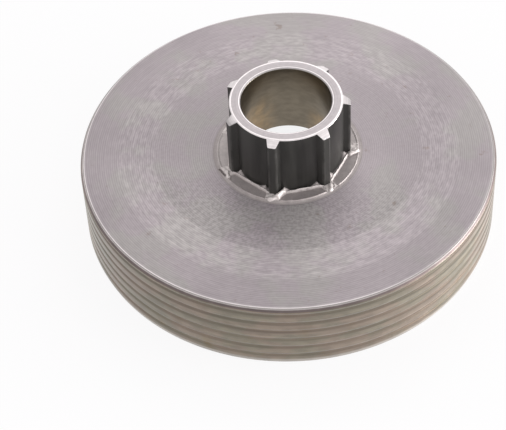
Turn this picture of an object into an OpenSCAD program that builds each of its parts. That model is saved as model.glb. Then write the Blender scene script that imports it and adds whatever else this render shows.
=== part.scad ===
// Chainsaw clutch drum: a turned steel cup with a splined hub staked into its web.
// Millimetres. It stands on its open rim, +Z runs along the hub, and the origin is
// the middle of the rim plane.

/* [Cup] */
// Outer diameter of the cup wall
cup_d = 70.4; // [60:0.1:90]
// Height from the open rim to the outer face of the web
cup_h = 13.4; // [12:0.1:20]
// Diameter of the friction surface inside the wall
drum_d = 65; // [54:0.1:86]
// Thickness of the web
web_t = 2.4; // [2:0.1:4]
// Round where the wall meets the web, inside
inner_round = 1.5; // [0.5:0.1:2.5]
// Chamfer round the edge of the web
edge_chamfer = 0.6; // [0.3:0.05:1]
// Height of the bevel at the open rim
rim_bevel_h = 1; // [0.5:0.1:1.5]
// Depth of the bevel at the open rim
rim_bevel = 0.3; // [0.1:0.05:0.6]
// Chamfer inside the open rim
rim_lead_in = 0.5; // [0.2:0.1:0.8]

/* [Grooves round the wall] */
// Number of turned grooves
groove_count = 6; // [3:1:6]
// Distance from the web face to the first groove
groove_first = 1.2; // [1.1:0.1:1.6]
// Distance from groove to groove
groove_pitch = 2; // [1.4:0.05:2]
// Width of a groove
groove_w = 0.8; // [0.4:0.05:1]
// Depth of a groove
groove_depth = 0.2; // [0.1:0.05:0.4]

/* [Hub] */
// Diameter of the hub between its ridges
core_d = 18.9; // [18:0.1:22]
// Height of the hub above the web face
hub_h = 11.8; // [8:0.1:16]
// Diameter of the bore
bore_d = 15; // [10:0.1:16]
// Chamfer at the outer end of the bore
bore_break = 0.25; // [0.1:0.05:0.5]
// Chamfer at the inner end of the bore
bore_lead_in = 0.6; // [0.2:0.1:1]

/* [Ridges on the hub] */
// Number of ridges
ridge_count = 7; // [7:1:9]
// Diameter over the tips of the ridges
tip_d = 21.3; // [20.5:0.1:24]
// Width of a ridge where it leaves the hub
ridge_base_w = 2.15; // [1.8:0.05:2.6]
// Width of a ridge across its flat tip, before the corners are rounded
ridge_tip_w = 1.35; // [1:0.05:1.6]
// Radius of a ridge's corners
ridge_round = 0.3; // [0.1:0.05:0.4]
// Direction of the first ridge, counterclockwise from +X
ridge_phase = -1.5; // [-25:0.5:25]
// Diameter where the chamfer at the end of the hub starts
end_face_d = 18.6; // [17:0.1:18.8]
// Slope of that chamfer, in degrees below the end face
end_slope = 30; // [20:5:45]

/* [Staked foot of the hub] */
// Distance across the flats of the collar pushed up round the hub
collar_af = 19.6; // [19.4:0.1:20.2]
// Height of the collar above the web face
collar_h = 0.45; // [0.2:0.05:0.8]
// Diameter of the staking mark
stake_d = 24; // [23:0.1:28]
// Depth of the pockets that the staking tool leaves
pocket_depth = 0.5; // [0.2:0.05:0.8]
// Width of the bridge left in front of each ridge
bridge_w = 2.4; // [1.8:0.05:3]
// Height of a bridge above the web face
bridge_h = 0.3; // [0.1:0.05:0.6]
// Width of the raised line round the staking mark
lip_w = 0.4; // [0.2:0.05:0.6]
// Height of the raised line round the staking mark
lip_h = 0.12; // [0.05:0.01:0.3]

/* [Hidden] */

steel_grey = [0.65, 0.61, 0.63];
hub_black = [0.18, 0.18, 0.17];

cup_r = cup_d/2;
drum_r = drum_d/2;
core_r = core_d/2;
tip_r = tip_d/2;
bore_r = bore_d/2;
end_face_r = end_face_d/2;
stake_r = stake_d/2;

web_in_z = cup_h - web_t;
hub_top_z = cup_h + hub_h;
ridge_step = 360/ridge_count;

// Overlap that keeps cuts and joints clean
eps = 0.1;
round_fn = 96;

// Flank of a ridge, seen from above with the ridge along +X: it runs from the
// hub's surface to the tip, and a corner arc touches both flank and tip.
flank_dx = tip_r - core_r;
flank_dy = (ridge_base_w - ridge_tip_w)/2;
flank_slope = flank_dy/flank_dx;
flank_turn = atan2(flank_dx, flank_dy);
corner_x = tip_r - ridge_round;
corner_y = ridge_base_w/2 - flank_slope*(corner_x - core_r) - ridge_round/sin(flank_turn);
corner_steps = 5;
// The ridge starts inside the core, where its flanks are a little wider apart
root_x = core_r - 1;
root_y = ridge_base_w/2 + flank_slope*(core_r - root_x);

// Profile of the cup, radius against height
function groove_z(i) = cup_h - groove_first - i*groove_pitch;
function groove(z) = [
    [cup_r, z + groove_w/2],
    [cup_r - groove_depth, z],
    [cup_r, z - groove_w/2]
];
function arc(centre, radius, a0, a1, steps) = [
    for (i = [0:steps])
        let (a = a0 + (a1 - a0)*i/steps)
        centre + radius*[cos(a), sin(a)]
];
wall_outline = [for (i = [0:groove_count - 1]) each groove(groove_z(i))];
cup_outline = concat(
    [[0, cup_h], [cup_r - edge_chamfer, cup_h], [cup_r, cup_h - edge_chamfer]],
    wall_outline,
    [[cup_r, rim_bevel_h], [cup_r - rim_bevel, 0]],
    [[drum_r + rim_lead_in, 0], [drum_r, rim_lead_in]],
    arc([drum_r - inner_round, web_in_z - inner_round], inner_round, 0, 90, 6),
    [[0, web_in_z]]
);

module at_ridges() {
    for (i = [0:ridge_count - 1])
        rotate(ridge_phase + i*ridge_step)
            children();
}

module ridge_outline() {
    polygon(concat(
        [[root_x, -root_y]],
        arc([corner_x, -corner_y], ridge_round, -flank_turn, 0, corner_steps),
        arc([corner_x, corner_y], ridge_round, 0, flank_turn, corner_steps),
        [[root_x, root_y]]
    ));
}

module spline_outline() {
    circle(r = core_r, $fn = round_fn);
    at_ridges()
        ridge_outline();
}

module collar_outline() {
    rotate(ridge_phase)
        circle(r = collar_af/2/cos(ridge_step/2), $fn = ridge_count);
}

module bridge_outline() {
    at_ridges()
        translate([0, -bridge_w/2])
            square([stake_r + lip_w/2, bridge_w]);
}

module pocket_outline() {
    difference() {
        circle(r = stake_r, $fn = round_fn);
        collar_outline();
        bridge_outline();
    }
}

// Everything that stands above the web face round the hub
module staking() {
    linear_extrude(collar_h + eps)
        collar_outline();
    linear_extrude(bridge_h + eps)
        intersection() {
            circle(r = stake_r + lip_w/2, $fn = round_fn);
            bridge_outline();
        }
    difference() {
        cylinder(r = stake_r + lip_w, h = lip_h + eps, $fn = round_fn);
        translate([0, 0, -eps])
            cylinder(r = stake_r, h = lip_h + 3*eps, $fn = round_fn);
    }
}

module drum_cup() {
    color(steel_grey)
        difference() {
            union() {
                rotate_extrude($fn = round_fn)
                    polygon(cup_outline);
                translate([0, 0, cup_h - eps])
                    staking();
            }
            translate([0, 0, cup_h - pocket_depth])
                linear_extrude(pocket_depth + 1)
                    pocket_outline();
            translate([0, 0, web_in_z - 1])
                linear_extrude(web_t + collar_h + 2)
                    spline_outline();
        }
}

// Turned envelope of the hub: a plain bar with a chamfered end
module hub_blank() {
    end_drop = (tip_r + 1 - end_face_r)*tan(end_slope);
    rotate_extrude($fn = round_fn)
        polygon([
            [0, web_in_z],
            [tip_r + 1, web_in_z],
            [tip_r + 1, hub_top_z - end_drop],
            [end_face_r, hub_top_z],
            [0, hub_top_z]
        ]);
}

module hub_bore() {
    rotate_extrude($fn = round_fn)
        polygon([
            [0, web_in_z - 1],
            [bore_r + bore_lead_in, web_in_z - 1],
            [bore_r + bore_lead_in, web_in_z],
            [bore_r, web_in_z + bore_lead_in],
            [bore_r, hub_top_z - bore_break],
            [bore_r + bore_break, hub_top_z],
            [bore_r + bore_break, hub_top_z + 1],
            [0, hub_top_z + 1]
        ]);
}

module splined_hub() {
    color(hub_black)
        difference() {
            intersection() {
                hub_blank();
                translate([0, 0, web_in_z])
                    linear_extrude(web_t + hub_h)
                        spline_outline();
            }
            hub_bore();
        }
}

drum_cup();
splined_hub();
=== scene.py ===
import math
import random

import bpy
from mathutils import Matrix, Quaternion, Vector, noise


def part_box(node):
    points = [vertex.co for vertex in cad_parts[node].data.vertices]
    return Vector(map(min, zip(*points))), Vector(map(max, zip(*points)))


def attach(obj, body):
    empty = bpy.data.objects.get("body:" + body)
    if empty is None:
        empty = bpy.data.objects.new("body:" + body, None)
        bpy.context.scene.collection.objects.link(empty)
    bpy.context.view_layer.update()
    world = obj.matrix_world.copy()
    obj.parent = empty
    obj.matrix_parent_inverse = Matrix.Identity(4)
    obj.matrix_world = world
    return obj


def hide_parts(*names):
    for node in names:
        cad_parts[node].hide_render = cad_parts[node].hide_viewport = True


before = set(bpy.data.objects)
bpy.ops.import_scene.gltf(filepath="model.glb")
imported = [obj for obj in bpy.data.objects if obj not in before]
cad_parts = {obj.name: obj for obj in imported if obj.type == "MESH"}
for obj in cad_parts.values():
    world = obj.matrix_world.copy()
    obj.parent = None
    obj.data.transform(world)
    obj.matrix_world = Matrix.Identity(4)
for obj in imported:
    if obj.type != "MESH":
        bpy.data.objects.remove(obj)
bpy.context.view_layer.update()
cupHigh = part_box("drum_cup")[1]
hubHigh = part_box("splined_hub")[1]
mm = 0.001
print("frame loaded")


def unitVector(angle):
    return Vector((math.cos(angle), math.sin(angle), 0))


def smoothStep(low, high, value):
    share = min(1, max(0, (value - low) / (high - low)))
    return share * share * (3 - 2 * share)


# corners are (radius, height, length of the rounding on each side)
def roundedPath(corners, steps=3):
    path = []
    last = len(corners) - 1
    for i, (radius, height, size) in enumerate(corners):
        here = Vector((radius, height))
        if size == 0 or i in (0, last):
            path.append(here)
            continue
        before = Vector(corners[i - 1][:2])
        after = Vector(corners[i + 1][:2])
        start = here + (before - here).normalized() * size
        end = here + (after - here).normalized() * size
        for step in range(steps + 1):
            t = step / steps
            path.append(start * (1 - t) ** 2 + here * 2 * t * (1 - t) + end * t * t)
    return path


# in edit mode: merges what lies together and turns every face outwards
def closeSeams(reach):
    bpy.ops.mesh.select_all(action="SELECT")
    bpy.ops.mesh.remove_doubles(threshold=reach)
    bpy.ops.mesh.normals_make_consistent(inside=False)


# draws an outline point by point, spins an eighth of a turn and doubles that three times
def lathe(name, path, steps):
    bpy.ops.object.select_all(action="DESELECT")
    bpy.ops.mesh.primitive_plane_add(size=mm, location=(0, 0, 0))
    piece = bpy.context.object
    piece.name = name
    bpy.ops.object.mode_set(mode="EDIT")
    bpy.ops.mesh.merge(type="CENTER")
    bpy.ops.transform.translate(value=(path[0].x * mm, 0, path[0].y * mm))
    for here, after in zip(path, path[1:]):
        move = (after - here) * mm
        bpy.ops.mesh.extrude_region_move(TRANSFORM_OT_translate={"value": (move.x, 0, move.y)})
    bpy.ops.mesh.select_all(action="SELECT")
    bpy.ops.mesh.spin(steps=steps // 8, angle=math.pi / 4, center=(0, 0, 0), axis=(0, 0, 1))
    for turn in (math.pi / 4, math.pi / 2, math.pi):
        bpy.ops.mesh.select_all(action="SELECT")
        bpy.ops.mesh.duplicate()
        bpy.ops.transform.rotate(value=-turn, orient_axis="Z", center_override=(0, 0, 0))
    closeSeams(0.001 * mm)
    bpy.ops.object.mode_set(mode="OBJECT")
    return piece


def finishShading(piece, degrees=28):
    bpy.ops.object.select_all(action="DESELECT")
    piece.select_set(True)
    bpy.context.view_layer.objects.active = piece
    bpy.ops.object.shade_smooth_by_angle(angle=math.radians(degrees))


# the hub and its seven ridges, in millimetres
hub = {
    "coreR": 9.45,
    "tipR": 10.65,
    "topZ": hubHigh.z / mm,
    "endFaceR": 9.3,
    "endSlope": math.radians(30),
    "boreR": 7.5,
    "boreBreak": 0.25,
    "boreLeadIn": 0.6,
    "ridgeCount": 7,
    "ridgePhase": math.radians(-1.5),
    "ridgeBaseHalf": 1.075,
    "ridgeTipHalf": 0.675,
    "ridgeRound": 0.3,
    "dullTabs": (0.3, 0, 0, 0.1, 0.5, 0, 0),  # end of each ridge, counterclockwise from the first
    "innerZ": 10.98,  # its inner end stands a hair out of the web
    "spinSteps": 1120,
}


# signed angle from the nearest ridge, and that ridge's number
def fromRidge(angle):
    step = 2 * math.pi / hub["ridgeCount"]
    number = round((angle - hub["ridgePhase"]) / step)
    return angle - hub["ridgePhase"] - number * step, number % hub["ridgeCount"]


# outline of the hub seen from above: radius at an angle from a ridge's middle
def ridgeRadius(offset):
    ray = unitVector(abs(offset))
    slope = (hub["ridgeBaseHalf"] - hub["ridgeTipHalf"]) / (hub["tipR"] - hub["coreR"])
    flankTurn = math.atan2(1, slope)
    cornerX = hub["tipR"] - hub["ridgeRound"]
    cornerY = hub["ridgeBaseHalf"] - slope * (cornerX - hub["coreR"])
    cornerY -= hub["ridgeRound"] / math.sin(flankTurn)
    flank = (hub["ridgeBaseHalf"] + slope * hub["coreR"]) / (ray.y + slope * ray.x)
    radius = min(hub["tipR"] / ray.x, flank)
    fromCorner = ray * radius - Vector((cornerX, cornerY, 0))
    if 0 < math.atan2(fromCorner.y, fromCorner.x) < flankTurn:
        along = cornerX * ray.x + cornerY * ray.y
        inside = along * along - cornerX * cornerX - cornerY * cornerY + hub["ridgeRound"] ** 2
        radius = along + math.sqrt(max(0, inside))
    return max(hub["coreR"], radius)


def hubPath():
    coreDrop = (hub["coreR"] - hub["endFaceR"]) * math.tan(hub["endSlope"])
    corners = [
        (hub["coreR"] - 0.6, hub["innerZ"], 0),
        (hub["boreR"] + hub["boreLeadIn"], hub["innerZ"], 0.08),
        (hub["boreR"], hub["innerZ"] + hub["boreLeadIn"], 0.1),
        (hub["boreR"], hub["topZ"] - hub["boreBreak"], 0.08),
        (hub["boreR"] + hub["boreBreak"], hub["topZ"], 0.08),
        (hub["endFaceR"], hub["topZ"], 0.05),
        (hub["coreR"], hub["topZ"] - coreDrop, 0.05),
        (hub["coreR"], hub["innerZ"], 0.05),
        (hub["coreR"] - 0.6, hub["innerZ"], 0),
    ]
    return roundedPath(corners)


# pushes the ridges out of the turned bar; the end's cone carries on over them
def pushRidges(piece):
    shoulderZ = (hub["topZ"] - 1) * mm
    dulled = piece.data.attributes.new("dulled", "FLOAT", "POINT")
    paintedCornerHighlight = piece.data.attributes.new("paintedCornerHighlight", "FLOAT", "POINT")
    for i, vertex in enumerate(piece.data.vertices):
        radius = math.hypot(vertex.co.x, vertex.co.y)
        if radius < (hub["endFaceR"] + 0.06) * mm:
            continue
        offset, number = fromRidge(math.atan2(vertex.co.y, vertex.co.x))
        rise = (ridgeRadius(offset) - hub["coreR"]) * mm
        side = abs(ridgeRadius(offset) * math.sin(offset))
        # painted highlight on the ridges' rounded corners
        if ridgeRadius(offset) > hub["tipR"] - 0.3 and side > hub["ridgeTipHalf"] - 0.25:
            paintedCornerHighlight.data[i].value = 1
        if rise > 0:
            dulled.data[i].value = hub["dullTabs"][number]
        vertex.co.x *= 1 + rise / radius
        vertex.co.y *= 1 + rise / radius
        if vertex.co.z > shoulderZ:
            vertex.co.z -= rise * math.tan(hub["endSlope"])
    piece.data.update()


hubPiece = lathe("ridged_hub", hubPath(), hub["spinSteps"])
pushRidges(hubPiece)
print("hub turned and splined:", len(hubPiece.data.polygons), "faces")

# what the staking tool left round the hub, in millimetres above the web face
foot = {
    "holeR": 9.3,  # hidden inside the hub
    "chord": 9.75,  # flats of the collar, from the axis
    "stakeR": 12.0,
    "outerR": 12.7,
    "rings": (8, 26, 12),  # hole to collar, collar to stake line, stake line outwards
    "crestHeight": 0.45,
    "crestWidth": 0.34,
    "gapDepth": 0.4,  # behind the crest, against the hub
    "pocketDepth": 0.5,
    "pocketWall": 0.16,
    # how hard each space was struck, counterclockwise from the first ridge
    "strike": (0.25, 0.3, 0.3, 0.12, 0.85, 1.0, 0.62),
    "bridgeHalf": 1.15,
    "bridgeHeight": 0.16,
    # torn lumps at each ridge, as (along, aside, along, aside, half width, height)
    "lumps": (
        ((10.5, -1.5, 11.8, -0.7, 0.42, 0.55),),
        ((11.0, -0.4, 11.7, 0.5, 0.4, 0.4),),
        ((11.0, 0.4, 11.8, -0.3, 0.4, 0.35),),
        ((11.2, -0.3, 11.6, 0.6, 0.4, 0.3),),
        ((11.35, 0.2, 11.7, 1.5, 0.4, 0.42),),
        ((11.85, -0.25, 11.2, 0.8, 0.52, 0.5), (11.2, 0.8, 9.95, 1.6, 0.42, 0.85)),
        ((11.1, 0.3, 12.0, -0.35, 0.42, 0.5),),
    ),
    "nickRidge": 4,
    "nick": (12.2, -0.9, 12.0, 0.8, 0.2, -0.35),  # as a lump, but sunk; its colour is darkened as painted shadow
    "lipWidth": 0.75,
    "lipHeight": 0.12,
    "floorBare": (0.1, 0.5),  # where struck hard and lightly; 0 is pressed, 1 is torn and bright; the front pockets, struck hardest, carry painted shade of the hub
    "lipBare": 0.34,
    "earBare": 0.25,
    "earHeight": (0.5, 1.15),  # points of metal beside the ridges
    "earPlace": (1.25, 1.6),  # from the ridge's middle
    "spinSteps": 896,  # twice the cup's
    "seed": 7,
}

# the turned cup, in millimetres
cup = {
    "outerR": cupHigh.x / mm,
    "webZ": 13.4,  # outer face of the web
    "webInnerZ": 11.0,
    "drumR": 32.5,  # friction surface inside
    "innerRound": 1.5,
    "edgeChamfer": 0.6,
    "edgeRound": 0.28,
    "rimBevel": (0.3, 1.0),  # depth, height
    "rimLeadIn": 0.5,
    "grooveCount": 6,
    "grooveFirst": 1.2,
    "groovePitch": 2.0,
    "grooveWidth": 0.8,
    "grooveDepth": 0.2,
    "spinSteps": 448,
}


# from the foot outwards over the web, down the wall and back inside to the hub's hole
def cupPath():
    outerR = cup["outerR"]
    corners = [(foot["outerR"], cup["webZ"], 0)]
    for share in (0.25, 0.5, 0.75):  # a few rings across the plain web
        corners.append((foot["outerR"] + share * (outerR - 1 - foot["outerR"]), cup["webZ"], 0))
    corners.append((outerR - cup["edgeChamfer"], cup["webZ"], cup["edgeRound"]))
    corners.append((outerR, cup["webZ"] - cup["edgeChamfer"], 0.12))
    for i in range(cup["grooveCount"]):
        middle = cup["webZ"] - cup["grooveFirst"] - i * cup["groovePitch"]
        corners.append((outerR, middle + cup["grooveWidth"] / 2, 0.12))
        corners.append((outerR - cup["grooveDepth"], middle, 0.14))
        corners.append((outerR, middle - cup["grooveWidth"] / 2, 0.12))
    corners.append((outerR, cup["rimBevel"][1], 0.1))
    corners.append((outerR - cup["rimBevel"][0], 0, 0.1))
    corners.append((cup["drumR"] + cup["rimLeadIn"], 0, 0.1))
    corners.append((cup["drumR"], cup["rimLeadIn"], 0.1))
    corners.append((cup["drumR"], cup["webInnerZ"], cup["innerRound"]))
    corners.append((foot["outerR"], cup["webInnerZ"], 0))
    corners.append((foot["holeR"], cup["webInnerZ"], 0))
    return roundedPath(corners)


# radii of the foot's rings at an angle: they follow the collar's flats, then the stake line
def footRadii(angle):
    offset = fromRidge(angle)[0]
    between = math.pi / hub["ridgeCount"] - abs(offset)
    stops = (foot["holeR"], foot["chord"] / math.cos(between), foot["stakeR"], foot["outerR"])
    radii = [stops[0]]
    for low, high, count in zip(stops, stops[1:], foot["rings"]):
        for i in range(count):
            radii.append(low + (high - low) * (i + 1) / count)
    return radii


def footPath():
    path = [Vector((foot["holeR"], cup["webInnerZ"]))]
    rings = sum(foot["rings"])
    for i in range(rings + 1):
        radius = foot["holeR"] + (foot["outerR"] - foot["holeR"]) * i / rings
        path.append(Vector((radius, cup["webZ"])))
    return path


# the points of metal beside the ridges, two at each: (place, height)
def drawEars():
    draw = random.Random(foot["seed"])
    ears = []
    for ridge in range(hub["ridgeCount"]):
        pair = []
        for side in (-1, 1):
            pair.append((draw.uniform(*foot["earPlace"]), draw.uniform(*foot["earHeight"])))
        ears.append(pair)
    return ears


# how hard the foot was struck at an angle, blended across the ridges
def strikeAt(angle):
    step = 2 * math.pi / hub["ridgeCount"]
    turn = (angle - hub["ridgePhase"]) / step
    space = math.floor(turn)
    across = turn - space
    here = foot["strike"][space % hub["ridgeCount"]]
    before = foot["strike"][(space - 1) % hub["ridgeCount"]]
    after = foot["strike"][(space + 1) % hub["ridgeCount"]]
    if across < 0.5:
        return here + (before - here) * 0.5 * (1 - smoothStep(0, 0.1, across))
    return here + (after - here) * 0.5 * smoothStep(0.9, 1, across)


# 1 on the middle line of a lump, 0 from its edge outwards
def onLump(along, aside, lump):
    here = Vector((along, aside))
    start, end, halfWidth = Vector(lump[0:2]), Vector(lump[2:4]), lump[4]
    share = (here - start).dot(end - start) / (end - start).length_squared
    nearest = start + (end - start) * min(1, max(0, share))
    return max(0, 1 - ((here - nearest).length / halfWidth) ** 2)


# height above the web face at a point of the foot, and how bare the metal is there
def footSurface(radius, angle, ears):
    offset, number = fromRidge(angle)
    between = math.pi / hub["ridgeCount"] - abs(offset)
    outOfFlat = radius * math.cos(between) - foot["chord"]
    along, aside = radius * math.cos(offset), radius * math.sin(offset)
    side = abs(aside)
    here = Vector((radius * math.cos(angle), radius * math.sin(angle), 3.7))
    rough = noise.noise(here * 1.3)
    grain = noise.noise(here * 4.1)
    torn = noise.noise(here * 1.9 + Vector((9, 4, 0)))
    strike = strikeAt(angle)

    lumpHeight, lumpShare = 0, 0
    for lump in foot["lumps"][number]:
        share = onLump(along + 0.1 * torn, aside + 0.12 * rough, lump)
        lumpHeight = max(lumpHeight, (lump[-1] + 0.12 * torn) * share ** 0.7)
        lumpShare = max(lumpShare, smoothStep(0, 0.35, share))

    # pocket, open between the collar's crest, the bridges and the stake line
    wallWidth = foot["pocketWall"] + 0.5 * (1 - strike)
    insideLine = 1 - smoothStep(foot["stakeR"] - wallWidth, foot["stakeR"], radius)
    besideBridge = smoothStep(foot["bridgeHalf"] - 0.1, foot["bridgeHalf"] + 0.12, side + 0.15 * torn)
    besideBridge *= 1 - lumpShare
    beyondCrest = smoothStep(0.02, foot["crestWidth"], outOfFlat + 0.05 * rough)
    pocket = insideLine * besideBridge * beyondCrest
    floor = strike * foot["pocketDepth"] * (0.6 + 0.4 * smoothStep(0.3, 1.6, outOfFlat))

    crest = (0.25 + 0.75 * strike) * (foot["crestHeight"] + 0.14 * rough + 0.05 * grain)
    gap = smoothStep(0, 0.3, -outOfFlat)
    collar = crest - foot["gapDepth"] * gap
    place, height = ears[number][1 if offset > 0 else 0]
    lean = (side - place) / (0.95 if side > place else 0.4)
    ear = height * max(0, 1 - abs(lean)) * (1 - smoothStep(9.6, 10.25, radius + 0.1 * torn))
    collar = max(collar, ear + 0.1)
    bridge = foot["bridgeHeight"] + 0.16 * torn
    onBridge = smoothStep(hub["tipR"] - 0.35, hub["tipR"] - 0.05, radius)
    onBridge *= 1 - smoothStep(foot["bridgeHalf"] + 0.05, foot["bridgeHalf"] + 0.4, side)
    raised = collar + (bridge - collar) * onBridge
    inner = max(raised * (1 - pocket) - floor * pocket, lumpHeight)

    lipShare = (radius - foot["stakeR"] + 0.05) / foot["lipWidth"]
    lip = 0
    if 0 < lipShare < 1:
        lip = foot["lipHeight"] * (0.3 + 0.7 * strike) * min(lipShare / 0.3, (1 - lipShare) / 0.7)
    height = inner * (1 - smoothStep(foot["stakeR"] - 0.08, foot["stakeR"] + 0.15, radius)) + lip
    outerLump = lumpHeight * (1 - smoothStep(foot["stakeR"], foot["stakeR"] + 0.45, radius))
    height = max(height, outerLump)

    # pressed floors are darker; in part painted shade of the hub, darkest in the front pockets
    floorBare = foot["floorBare"][1] + (foot["floorBare"][0] - foot["floorBare"][1]) * strike
    deepInPocket = insideLine * besideBridge * smoothStep(0.12, 0.28, outOfFlat + 0.1 * rough)
    bare = 0.85 - (0.85 - floorBare) * deepInPocket
    inEar = (1 - onBridge) * smoothStep(0.0, 0.2, max(gap, ear - 0.2))
    bare += (foot["earBare"] - bare) * inEar
    onLip = smoothStep(foot["stakeR"] - 0.1, foot["stakeR"] + 0.02, radius)
    bare += (foot["lipBare"] * (0.4 + 0.6 * strike) * (1 + 0.5 * rough) - bare) * onLip
    bare = max(bare, lumpShare)
    bare *= 1 - smoothStep(foot["stakeR"] + 0.25, foot["stakeR"] + foot["lipWidth"] - 0.08, radius)

    # the nick is sunk, and its colour darkened as painted shadow of the lump beside it
    if number == foot["nickRidge"]:
        inNick = onLump(along, aside, foot["nick"])
        height += foot["nick"][-1] * inNick
        bare *= 1 - smoothStep(0, 0.3, inNick)
    return height, bare


def stampFoot(piece):
    mesh = piece.data
    ears = drawEars()
    rings = sum(foot["rings"])
    bareMetal = mesh.attributes.new("bareMetal", "FLOAT", "POINT")
    for i, vertex in enumerate(mesh.vertices):
        if vertex.co.z < (cup["webZ"] - 0.1) * mm:
            continue
        flatR = math.hypot(vertex.co.x, vertex.co.y) / mm
        ring = round((flatR - foot["holeR"]) / (foot["outerR"] - foot["holeR"]) * rings)
        if ring in (0, rings):
            continue
        angle = math.atan2(vertex.co.y, vertex.co.x)
        radius = footRadii(angle)[ring]
        height, bare = footSurface(radius, angle, ears)
        vertex.co = unitVector(angle) * radius * mm
        vertex.co.z = (cup["webZ"] + height) * mm
        bareMetal.data[i].value = bare
    mesh.update()


# joins the staked foot to the cup, whose two open edges are cut to match it
def joinFoot(piece, footPiece):
    bpy.ops.object.select_all(action="DESELECT")
    piece.select_set(True)
    bpy.context.view_layer.objects.active = piece
    bpy.ops.object.mode_set(mode="EDIT")
    bpy.ops.mesh.select_mode(type="EDGE")
    bpy.ops.mesh.select_all(action="DESELECT")
    bpy.ops.mesh.select_non_manifold()
    bpy.ops.mesh.subdivide(number_cuts=1)
    bpy.ops.mesh.select_mode(type="VERT")
    bpy.ops.object.mode_set(mode="OBJECT")
    footPiece.select_set(True)
    bpy.ops.object.join()
    bpy.ops.object.mode_set(mode="EDIT")
    closeSeams(0.004 * mm)
    bpy.ops.object.mode_set(mode="OBJECT")


cupPiece = lathe("turned_cup", cupPath(), cup["spinSteps"])
footPiece = lathe("staked_foot", footPath(), foot["spinSteps"])
print("cup turned:", len(cupPiece.data.polygons), "faces")
stampFoot(footPiece)
joinFoot(cupPiece, footPiece)
print("foot staked:", len(cupPiece.data.polygons), "faces in all")


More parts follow.
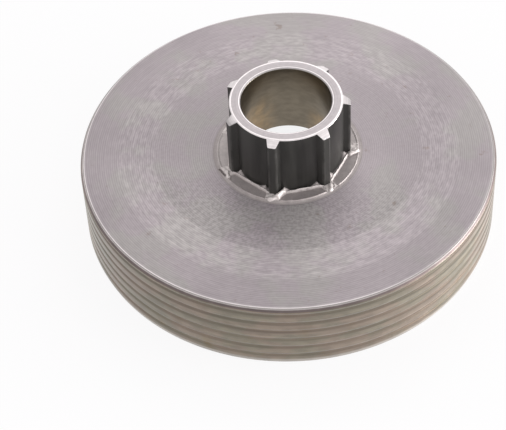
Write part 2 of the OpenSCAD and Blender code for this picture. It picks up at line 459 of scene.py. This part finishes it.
# a material with its Principled shader, and short ways to add and join nodes
class NodeBench:
    def __init__(self, name):
        self.material = bpy.data.materials.new(name)
        self.material.use_nodes = True
        self.nodes = self.material.node_tree.nodes
        self.links = self.material.node_tree.links
        self.shader = self.nodes["Principled BSDF"]
        self.place = self.nodes.new("ShaderNodeTexCoord").outputs["Object"]

    def plug(self, source, socket):
        if isinstance(source, bpy.types.NodeSocket):
            self.links.new(source, socket)
        else:
            socket.default_value = source

    def setShader(self, **values):
        names = {"colour": "Base Color", "metallic": "Metallic", "roughness": "Roughness"}
        for key, value in values.items():
            self.plug(value, self.shader.inputs[names[key]])

    def maths(self, operation, first, second=0.0, third=0.0):
        node = self.nodes.new("ShaderNodeMath")
        node.operation = operation
        for socket, source in zip(node.inputs, (first, second, third)):
            self.plug(source, socket)
        return node.outputs[0]

    def spread(self, value, low, high, newLow=0.0, newHigh=1.0):
        node = self.nodes.new("ShaderNodeMapRange")
        node.interpolation_type = "SMOOTHSTEP"
        for socket, source in zip(node.inputs, (value, low, high, newLow, newHigh)):
            self.plug(source, socket)
        return node.outputs[0]

    def mix(self, share, first, second, blend="MIX"):
        node = self.nodes.new("ShaderNodeMix")
        node.data_type = "RGBA"
        node.blend_type = blend
        self.plug(share, node.inputs["Factor"])
        self.plug(first, node.inputs[6])
        self.plug(second, node.inputs[7])
        return node.outputs[2]

    def shade(self, colour, *tones):
        for tone in tones:
            colour = self.mix(1.0, colour, tone, "MULTIPLY")
        return colour

    # a tone that counts only where the share is 1
    def partly(self, share, tone):
        return self.mix(share, (1, 1, 1, 1), tone)

    def stretch(self, scale):
        node = self.nodes.new("ShaderNodeMapping")
        self.plug(self.place, node.inputs["Vector"])
        node.inputs["Scale"].default_value = scale
        return node.outputs[0]

    # scale is given in blotches per metre
    def cloud(self, where, scale, detail=3.0, roughness=0.55):
        node = self.nodes.new("ShaderNodeTexNoise")
        self.plug(where, node.inputs["Vector"])
        node.inputs["Scale"].default_value = scale
        node.inputs["Detail"].default_value = detail
        node.inputs["Roughness"].default_value = roughness
        return node.outputs["Fac"]

    # 0, 1 or 2 for x, y or z
    def along(self, number):
        node = self.nodes.new("ShaderNodeSeparateXYZ")
        self.plug(self.place, node.inputs[0])
        return node.outputs[number]

    def vectorMaths(self, operation, *sources):
        node = self.nodes.new("ShaderNodeVectorMath")
        node.operation = operation
        for socket, source in zip(node.inputs, sources):
            self.plug(source, socket)
        return node

    def radius(self):
        flat = self.vectorMaths("MULTIPLY", self.place, (1, 1, 0))
        return self.vectorMaths("LENGTH", flat.outputs[0]).outputs["Value"]

    # 1 on the side of the object that faces a direction, -1 on the other side
    def towards(self, degrees, reach):
        direction = unitVector(math.radians(degrees)) / reach
        return self.vectorMaths("DOT_PRODUCT", self.place, direction).outputs["Value"]

    # turning marks: noise that changes fast with the radius and slowly round the turn
    def turningMarks(self, pitch, breaks, detail=2.0):
        flat = self.vectorMaths("MULTIPLY", self.place, (1, 1, 0))
        spoke = self.vectorMaths("NORMALIZE", flat.outputs[0])
        wide = self.vectorMaths("MULTIPLY", spoke.outputs[0], (breaks, breaks, 0))
        rise = self.nodes.new("ShaderNodeCombineXYZ")
        self.plug(self.maths("DIVIDE", self.radius(), pitch * mm), rise.inputs[2])
        where = self.vectorMaths("ADD", wide.outputs[0], rise.outputs[0])
        return self.cloud(where.outputs[0], 1, detail)

    # noise that only changes with one number, such as the radius
    def bands(self, value, scale, detail=2.0):
        node = self.nodes.new("ShaderNodeTexNoise")
        node.noise_dimensions = "1D"
        self.plug(value, node.inputs["W"])
        node.inputs["Scale"].default_value = scale
        node.inputs["Detail"].default_value = detail
        return node.outputs["Fac"]

    # a curve through (place, tone) points; the places are in millimetres unless a unit is given
    def profile(self, value, points, unit=mm):
        low, high = points[0][0] * unit, points[-1][0] * unit
        share = self.nodes.new("ShaderNodeMapRange")
        for socket, source in zip(share.inputs, (value, low, high)):
            self.plug(source, socket)
        node = self.nodes.new("ShaderNodeValToRGB")
        stops = node.color_ramp.elements
        for i, (place, tone) in enumerate(points):
            if i == 0:
                stop = stops[0]
            elif i == len(points) - 1:
                stop = stops[len(stops) - 1]
            else:
                stop = stops.new((place * unit - low) / (high - low))
            stop.color = (tone, tone, tone, 1)
        self.plug(share.outputs[0], node.inputs[0])
        return node.outputs[0]

    def relief(self, height, depth):
        node = self.nodes.new("ShaderNodeBump")
        node.inputs["Distance"].default_value = depth
        self.plug(height, node.inputs["Height"])
        self.plug(node.outputs[0], self.shader.inputs["Normal"])


edgeLook = {
    "paintedHighlight": (0.80, 0.74, 0.745, 1),
    "paintedRightShade": 0.62,  # painted shade: darker on the right, against the right lamp
}


# painted highlight: the bright line between the web and its chamfer
def paintedEdgeHighlight(bench):
    paintedShadeRight = bench.spread(bench.towards(-10, cup["outerR"] * mm), 0.2, 0.95, 1, edgeLook["paintedRightShade"])
    return bench.shade(edgeLook["paintedHighlight"], paintedShadeRight)


faceLook = {
    "violet": (0.375, 0.331, 0.346, 1),
    "green": (0.371, 0.343, 0.339, 1),
    "stain": (0.24, 0.185, 0.16, 1),
    "edgeFrom": 34.38,
    "feed": 0.36,  # lathe feed per turn, in millimetres
    "feedTone": 0.08,
    # radius, tone: rings darker inside 22.5 mm and lighter out to 28.8 mm, strongest at the front
    "zones": (
        (12, 0.97),
        (16, 0.96),
        (20, 0.93),
        (22.5, 0.91),
        (22.68, 1.08),
        (26, 1.08),
        (28.8, 1.05),
        (29.0, 0.95),
        (32, 0.95),
        (34, 0.96),
    ),
    "zonesBehind": 0.3,  # how much of the zones shows away from the front
    # painted shade: the web darker on the right, against the right lamp
    "paintedRightShade": 0.89,
    "metallic": 0.62,
    "roughness": (0.44, 0.56),
}


def turnedFaceMaterial():
    bench = NodeBench("turnedFace")
    radius = bench.radius()
    reach = cup["outerR"] * mm
    feed = bench.maths("SINE", bench.maths("MULTIPLY", radius, 2 * math.pi / (faceLook["feed"] * mm)))
    fineBands = bench.bands(radius, 2600, 3)
    patches = bench.cloud(bench.place, 110, 3)
    stains = bench.spread(bench.cloud(bench.place, 420, 3, 0.6), 0.66, 0.76)
    specks = bench.spread(bench.cloud(bench.place, 1100, 2), 0.7, 0.78)
    colour = bench.mix(bench.spread(patches, 0.44, 0.58), faceLook["violet"], faceLook["green"])
    colour = bench.mix(bench.maths("MULTIPLY", stains, 0.55), colour, faceLook["stain"])
    colour = bench.mix(bench.maths("MULTIPLY", specks, 0.4), colour, faceLook["stain"])
    lines = bench.maths("MULTIPLY_ADD", feed, faceLook["feedTone"], 1.0)
    front = bench.spread(bench.towards(-95, reach), 0.1, 0.4, faceLook["zonesBehind"], 1)
    zones = bench.partly(front, bench.profile(radius, faceLook["zones"]))
    # painted shade on the right of the web
    right = bench.spread(bench.towards(-15, reach), 0.3, 0.9, 1, faceLook["paintedRightShade"])
    pastInner = bench.spread(radius, 22 * mm, 23 * mm)
    beforeOuter = bench.spread(radius, 28 * mm, 30 * mm, 1, 0.3)
    inMiddle = bench.maths("MULTIPLY", pastInner, beforeOuter)
    inside = bench.maths("MULTIPLY", bench.spread(radius, 22 * mm, 24 * mm, 1, 0.25), front)
    streaks = bench.spread(bench.turningMarks(0.5, 16), 0.3, 0.75, -0.1, 0.15)
    weave = bench.spread(bench.turningMarks(0.55, 34, 1), 0.3, 0.7, -0.12, 0.12)
    marks = bench.maths("MULTIPLY_ADD", streaks, inMiddle, 1.0)
    marks = bench.maths("MULTIPLY_ADD", weave, inside, marks)
    # painted highlight along the web's outer edge
    onEdge = bench.spread(radius, faceLook["edgeFrom"] * mm, (faceLook["edgeFrom"] + 0.22) * mm)
    colour = bench.mix(onEdge, colour, paintedEdgeHighlight(bench))
    colour = bench.shade(
        colour,
        lines,
        marks,
        bench.spread(fineBands, 0.25, 0.75, 0.94, 1.06),
        zones,
        right,
        bench.spread(bench.cloud(bench.place, 60, 2), 0.35, 0.65, 0.95, 1.05),
    )
    roughness = bench.spread(fineBands, 0.2, 0.8, *faceLook["roughness"])
    bench.setShader(colour=colour, metallic=faceLook["metallic"], roughness=roughness)
    bench.relief(bench.maths("MULTIPLY_ADD", feed, 0.5, fineBands), 0.004 * mm)
    return bench.material


wallLook = {
    "beige": (0.252, 0.195, 0.150, 1),
    "olive": (0.222, 0.192, 0.142, 1),
    "rust": (0.215, 0.148, 0.072, 1),
    "bevel": (0.34, 0.295, 0.25, 1),
    # painted reflection: the dark of the room, on the chamfer under the web's edge
    "chamfer": (0.13, 0.10, 0.095, 1),
    # share of the way from groove to groove, tone: painted shading, partly dirt in the grooves,
    # darker in and below each groove and lighter above the next
    "grooveShading": (
        (0, 0.84),
        (0.08, 0.66),
        (0.18, 0.6),
        (0.28, 0.82),
        (0.42, 0.97),
        (0.75, 1.04),
        (0.9, 1.1),
        (1, 0.84),
    ),
    "paintedSideLight": 1.54,  # painted light: the wall lighter on the right and at the far left
    "rightGrooveShade": 0.95,  # painted shade: the grooves darker still on the right
    "metallic": 0.72,
    "roughness": (0.4, 0.52),
    "haze": 0.45,  # clear coat of oil
    "dust": 0.3,  # sheen
}


def turnedWallMaterial():
    bench = NodeBench("turnedWall")
    z = bench.along(2)
    reach = cup["outerR"] * mm
    below = bench.maths("SUBTRACT", cup["webZ"] * mm, z)  # depth below the web's face
    streaks = bench.cloud(bench.stretch((60, 60, 2600)), 1, 3)
    mottle = bench.cloud(bench.stretch((1, 1, 2)), 420, 4)
    olive = bench.spread(bench.cloud(bench.stretch((1, 1, 2.5)), 130, 3), 0.44, 0.58)
    rust = bench.spread(bench.cloud(bench.place, 260, 4), 0.54, 0.74)
    rust = bench.maths("MULTIPLY", rust, bench.spread(z, 0.5 * mm, 7 * mm, 0.75, 0.25))
    # painted light: masks for the wall's right side and far left, which are lightened below
    onRight = bench.spread(bench.towards(-12, reach), 0.45, 0.95)
    paintedLightSides = bench.maths("MAXIMUM", onRight, bench.spread(bench.towards(180, reach), 0.9, 1.0))
    # painted shading across the grooves, partly dirt in them: fainter lower down, stronger on the
    # right
    fromFirst = bench.maths("SUBTRACT", below, cup["grooveFirst"] * mm)
    turn = bench.maths("FRACT", bench.maths("DIVIDE", fromFirst, cup["groovePitch"] * mm))
    tones = bench.profile(turn, wallLook["grooveShading"], 1)
    fading = bench.spread(below, 2 * mm, 10 * mm, 1, 0.55)
    depth = bench.maths("MULTIPLY", fading, bench.spread(mottle, 0.35, 0.6, 0.6, 1.1))
    sharper = bench.maths("MULTIPLY", onRight, wallLook["rightGrooveShade"])
    grooved = bench.shade(bench.partly(depth, tones), bench.partly(sharper, tones))
    top = bench.spread(below, 0.7 * mm, 1.05 * mm, 1, 0)
    bevelTop = cup["rimBevel"][1]
    bevelled = bench.spread(z, (bevelTop - 0.05) * mm, (bevelTop + 0.25) * mm, 1, 0)
    cut = bench.maths("SUBTRACT", 1.0, bench.maths("MAXIMUM", top, bevelled))
    colour = bench.mix(olive, wallLook["beige"], wallLook["olive"])
    colour = bench.mix(rust, colour, wallLook["rust"])
    colour = bench.shade(colour, bench.partly(cut, grooved))
    colour = bench.mix(bevelled, colour, wallLook["bevel"])
    # painted reflection: the chamfer under the web's edge made dark
    colour = bench.mix(bench.spread(below, 0.5 * mm, 0.66 * mm, 1, 0), colour, wallLook["chamfer"])
    # painted highlight: the bright edge line carried over the top of the chamfer
    colour = bench.mix(bench.spread(below, 0.12 * mm, 0.34 * mm, 1, 0), colour, paintedEdgeHighlight(bench))
    colour = bench.shade(
        colour,
        bench.maths("MULTIPLY_ADD", paintedLightSides, wallLook["paintedSideLight"] - 1, 1.0),
        bench.spread(streaks, 0.3, 0.7, 0.86, 1.14),
        bench.spread(mottle, 0.35, 0.65, 0.88, 1.1),
    )
    roughness = bench.spread(streaks, 0.2, 0.8, *wallLook["roughness"])
    bench.setShader(colour=colour, metallic=wallLook["metallic"], roughness=roughness)
    bench.shader.inputs["Coat Weight"].default_value = wallLook["haze"]
    bench.shader.inputs["Coat Roughness"].default_value = 0.3
    bench.shader.inputs["Sheen Weight"].default_value = wallLook["dust"]
    bench.shader.inputs["Sheen Roughness"].default_value = 0.4
    bench.relief(streaks, 0.02 * mm)
    return bench.material


footLook = {
    "bare": (0.74, 0.68, 0.66, 1),
    "pressed": (0.34, 0.30, 0.295, 1),
    "roughness": 0.6,
    "metallic": 0.5,
}


def stakedMaterial():
    bench = NodeBench("stakedMetal")
    attribute = bench.nodes.new("ShaderNodeAttribute")
    attribute.attribute_name = "bareMetal"
    grain = bench.cloud(bench.place, 3200, 4, 0.7)
    smear = bench.cloud(bench.place, 900, 3)
    both = bench.maths("MULTIPLY", bench.maths("ADD", grain, smear), 0.5)
    colour = bench.mix(attribute.outputs["Fac"], footLook["pressed"], footLook["bare"])
    colour = bench.shade(colour, bench.spread(both, 0.32, 0.68, 0.86, 1.08))
    bench.setShader(colour=colour, metallic=footLook["metallic"], roughness=footLook["roughness"])
    bench.relief(grain, 0.015 * mm)
    return bench.material


insideLook = {
    "steel": (0.34, 0.315, 0.30, 1),
    "roughness": 0.38,
}


def insideMaterial():
    bench = NodeBench("frictionSteel")
    streaks = bench.cloud(bench.stretch((50, 50, 3000)), 1, 3)
    rings = bench.bands(bench.radius(), 1500, 3)
    both = bench.maths("MULTIPLY", bench.maths("ADD", streaks, rings), 0.5)
    colour = bench.shade(insideLook["steel"], bench.spread(both, 0.3, 0.7, 0.88, 1.1))
    bench.setShader(colour=colour, metallic=1.0, roughness=insideLook["roughness"])
    bench.relief(both, 0.01 * mm)
    return bench.material


hubLook = {
    "oxide": (0.026, 0.025, 0.023, 1),
    "oxideRoughness": (0.30, 0.44),
    # painted highlight on the ridges' corners
    "paintedCornerGlint": (0.062, 0.06, 0.056, 1),
    "faced": (0.40, 0.366, 0.373, 1),
    # painted highlights: the bright lines along the end face's inner and outer edges
    "edge": (0.80, 0.75, 0.75, 1),
    "breakShade": 0.5,  # painted shade on the small chamfer at the bore
    "facedRoughness": 0.4,
    "bore": (0.20, 0.172, 0.132, 1),
    # painted highlight, gold tinted, low on the bore's left and right
    "boreHighlight": (0.36, 0.26, 0.15, 1),
    "boreRoughness": 0.34,
}


def oxideMaterial():
    bench = NodeBench("blackOxide")
    smoke = bench.cloud(bench.stretch((500, 500, 60)), 1, 3)
    # painted highlight along the ridges' corners, broken up by noise
    corner = bench.nodes.new("ShaderNodeAttribute")
    corner.attribute_name = "paintedCornerHighlight"
    broken = bench.spread(bench.cloud(bench.place, 380, 3), 0.38, 0.6, 0.1, 0.9)
    paintedCornerGlint = bench.maths("MULTIPLY", corner.outputs["Fac"], broken)
    colour = bench.shade(hubLook["oxide"], bench.spread(smoke, 0.3, 0.7, 0.7, 1.4))
    colour = bench.mix(paintedCornerGlint, colour, hubLook["paintedCornerGlint"])
    roughness = bench.spread(smoke, 0.3, 0.7, *hubLook["oxideRoughness"])
    bench.setShader(colour=colour, metallic=0.0, roughness=roughness)
    bench.relief(bench.cloud(bench.place, 2400, 3), 0.008 * mm)
    return bench.material


def facedEndMaterial():
    bench = NodeBench("facedEnd")
    radius = bench.radius()
    rings = bench.bands(radius, 4200, 3)
    grain = bench.cloud(bench.place, 1500, 3)
    both = bench.maths("MULTIPLY", bench.maths("ADD", rings, grain), 0.5)
    # painted highlights along the end face's inner and outer edges, painted shade on the chamfer at
    # the bore
    fromBore = bench.maths("SUBTRACT", radius, hub["boreR"] * mm)
    inner = bench.spread(fromBore, 0.32 * mm, 0.46 * mm, 1, 0)
    broken = bench.spread(fromBore, 0.16 * mm, 0.27 * mm, hubLook["breakShade"], 1)
    outer = bench.spread(radius, (hub["endFaceR"] - 0.28) * mm, (hub["endFaceR"] - 0.1) * mm)
    colour = bench.mix(bench.maths("ADD", inner, outer), hubLook["faced"], hubLook["edge"])
    dulled = bench.nodes.new("ShaderNodeAttribute")
    dulled.attribute_name = "dulled"
    colour = bench.shade(colour, broken, bench.maths("SUBTRACT", 1.0, dulled.outputs["Fac"]))
    colour = bench.shade(colour, bench.spread(both, 0.3, 0.7, 0.9, 1.08))
    bench.setShader(colour=colour, metallic=1.0, roughness=hubLook["facedRoughness"])
    bench.relief(both, 0.008 * mm)
    return bench.material


def boreMaterial():
    bench = NodeBench("honedBore")
    streaks = bench.cloud(bench.stretch((400, 400, 900)), 1, 3)
    z = bench.along(2)
    x = bench.along(0)
    # painted highlights: gold-tinted patches low on the bore's left and right
    onLeft = bench.spread(x, -5.5 * mm, -1 * mm, 1, 0)
    onRight = bench.spread(x, 3 * mm, 6 * mm)
    leftHighlight = bench.maths("MULTIPLY", onLeft, bench.spread(z, 16 * mm, 21.5 * mm, 1, 0))
    rightHighlight = bench.maths("MULTIPLY", onRight, bench.spread(z, 14.5 * mm, 18 * mm, 1, 0))
    patchy = bench.spread(bench.cloud(bench.place, 420, 4), 0.3, 0.62, 0.25, 1)
    boreHighlights = bench.maths("MULTIPLY", bench.maths("ADD", leftHighlight, rightHighlight), patchy)
    colour = bench.mix(boreHighlights, hubLook["bore"], hubLook["boreHighlight"])
    # painted shade under the bore's mouth
    mouthShade = bench.spread(z, (hub["topZ"] - 1.6) * mm, (hub["topZ"] - 0.4) * mm, 1, 0.7)
    colour = bench.shade(colour, mouthShade, bench.spread(streaks, 0.3, 0.7, 0.88, 1.12))
    bench.setShader(colour=colour, metallic=1.0, roughness=hubLook["boreRoughness"])
    bench.relief(streaks, 0.01 * mm)
    return bench.material


def dressCup(piece):
    mesh = piece.data
    mesh.materials.clear()
    for material in (turnedFaceMaterial(), turnedWallMaterial(), stakedMaterial(), insideMaterial()):
        mesh.materials.append(material)
    for face in mesh.polygons:
        radius = math.hypot(face.center.x, face.center.y) / mm
        height = face.center.z / mm
        if height > cup["webInnerZ"] + 0.05 and radius < foot["outerR"] - 0.01:
            face.material_index = 2
        elif height > cup["webZ"] - 0.1 and radius < cup["outerR"] - 0.04:
            face.material_index = 0
        elif radius > cup["outerR"] - cup["rimBevel"][0] - 0.02:
            face.material_index = 1
        else:
            face.material_index = 3


def dressHub(piece):
    mesh = piece.data
    mesh.materials.clear()
    for material in (oxideMaterial(), facedEndMaterial(), boreMaterial()):
        mesh.materials.append(material)
    for face in mesh.polygons:
        radius = math.hypot(face.center.x, face.center.y) / mm
        if radius < hub["boreR"] + 0.05:
            face.material_index = 2
        elif abs(face.normal.z) > 0.4:
            face.material_index = 1


dressCup(cupPiece)
finishShading(cupPiece)
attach(cupPiece, "root")
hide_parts("drum_cup")

dressHub(hubPiece)
finishShading(hubPiece)
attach(hubPiece, "root")
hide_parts("splined_hub")
print("pieces dressed")

studio = {
    "floorSize": 6.0,
    "floor": (0.95, 0.95, 0.95, 1),
    "backdrop": (1.0, 0.995, 1.0, 1),
    "world": 0.85,
    "floorGlow": 0.88,
    # name, place, width, height, watts
    "lamps": (
        ("backSoftbox", (0.15, 0.6, 0.5), 0.5, 0.5, 0.8),
        ("rightStrip", (0.6, -0.08, 0.065), 0.4, 0.1, 3.6),
    ),
}


# 1 for rays that should see the plain backdrop
def seesBackdrop(nodes, links):
    path = nodes.new("ShaderNodeLightPath")
    total = path.outputs["Is Camera Ray"]
    for name in ("Is Glossy Ray", "Is Transmission Ray"):
        both = nodes.new("ShaderNodeMath")
        both.operation = "MAXIMUM"
        links.new(total, both.inputs[0])
        links.new(path.outputs[name], both.inputs[1])
        total = both.outputs[0]
    return total


def layFloor():
    bpy.ops.mesh.primitive_plane_add(size=studio["floorSize"], location=(0, 0, 0))
    floor = bpy.context.object
    floor.name = "studio_floor"
    material = bpy.data.materials.new("paleFloor")
    material.use_nodes = True
    nodes, links = material.node_tree.nodes, material.node_tree.links
    shader = nodes["Principled BSDF"]
    shader.inputs["Base Color"].default_value = studio["floor"]
    shader.inputs["Roughness"].default_value = 0.9
    shader.inputs["Specular IOR Level"].default_value = 0
    glow = nodes.new("ShaderNodeEmission")
    glow.inputs["Color"].default_value = studio["backdrop"]
    share = nodes.new("ShaderNodeMath")
    share.operation = "MULTIPLY"
    links.new(seesBackdrop(nodes, links), share.inputs[0])
    share.inputs[1].default_value = studio["floorGlow"]
    blend = nodes.new("ShaderNodeMixShader")
    links.new(share.outputs[0], blend.inputs[0])
    links.new(shader.outputs[0], blend.inputs[1])
    links.new(glow.outputs[0], blend.inputs[2])
    links.new(blend.outputs[0], nodes["Material Output"].inputs["Surface"])
    floor.data.materials.append(material)


def lightWorld():
    world = bpy.data.worlds.new("paleRoom")
    bpy.context.scene.world = world
    world.use_nodes = True
    nodes, links = world.node_tree.nodes, world.node_tree.links
    background = nodes["Background"]
    background.inputs["Color"].default_value = studio["backdrop"]
    strength = nodes.new("ShaderNodeMapRange")
    links.new(seesBackdrop(nodes, links), strength.inputs[0])
    strength.inputs[3].default_value = studio["world"]
    strength.inputs[4].default_value = 1.0
    links.new(strength.outputs[0], background.inputs["Strength"])


def hangLamps():
    for name, place, width, height, watts in studio["lamps"]:
        data = bpy.data.lights.new(name, "AREA")
        data.shape = "RECTANGLE"
        data.size = width
        data.size_y = height
        data.energy = watts
        lamp = bpy.data.objects.new(name, data)
        bpy.context.scene.collection.objects.link(lamp)
        lamp.location = place
        lamp.rotation_mode = "QUATERNION"
        lamp.rotation_quaternion = (-Vector(place)).to_track_quat("-Z", "Y")


camera = {
    "frame": (506, 430),
    "focalPixels": 1860,
    "sensor": 36,
    "distance": 315.4,  # from the middle of the web face
    "elevation": math.radians(45.99),
    "roll": math.radians(-1.93),
    "webMiddleAt": (287.7, 149.4),  # where that middle lies in the frame
}


def placeCamera():
    data = bpy.data.cameras.new("photoCamera")
    data.sensor_width = camera["sensor"]
    data.lens = camera["focalPixels"] * camera["sensor"] / camera["frame"][0]
    data.clip_start = 0.01
    data.clip_end = 20
    eye = bpy.data.objects.new("photoCamera", data)
    bpy.context.scene.collection.objects.link(eye)
    back = Vector((0, -math.cos(camera["elevation"]), math.sin(camera["elevation"])))
    eye.location = Vector((0, 0, cup["webZ"] * mm)) + back * camera["distance"] * mm
    width, height = camera["frame"]
    across, down = camera["webMiddleAt"]
    sight = Vector((across - width / 2, height / 2 - down, -camera["focalPixels"]))
    look = (-back).to_track_quat("-Z", "Y")
    roll = Quaternion((0, 0, 1), camera["roll"])
    eye.rotation_mode = "QUATERNION"
    eye.rotation_quaternion = look @ roll @ sight.rotation_difference(Vector((0, 0, -1)))
    bpy.context.scene.camera = eye


bpy.ops.object.select_all(action="DESELECT")
layFloor()
lightWorld()
hangLamps()
placeCamera()
bpy.context.scene.view_settings.view_transform = "Standard"
print("studio set")

bpy.context.view_layer.update()
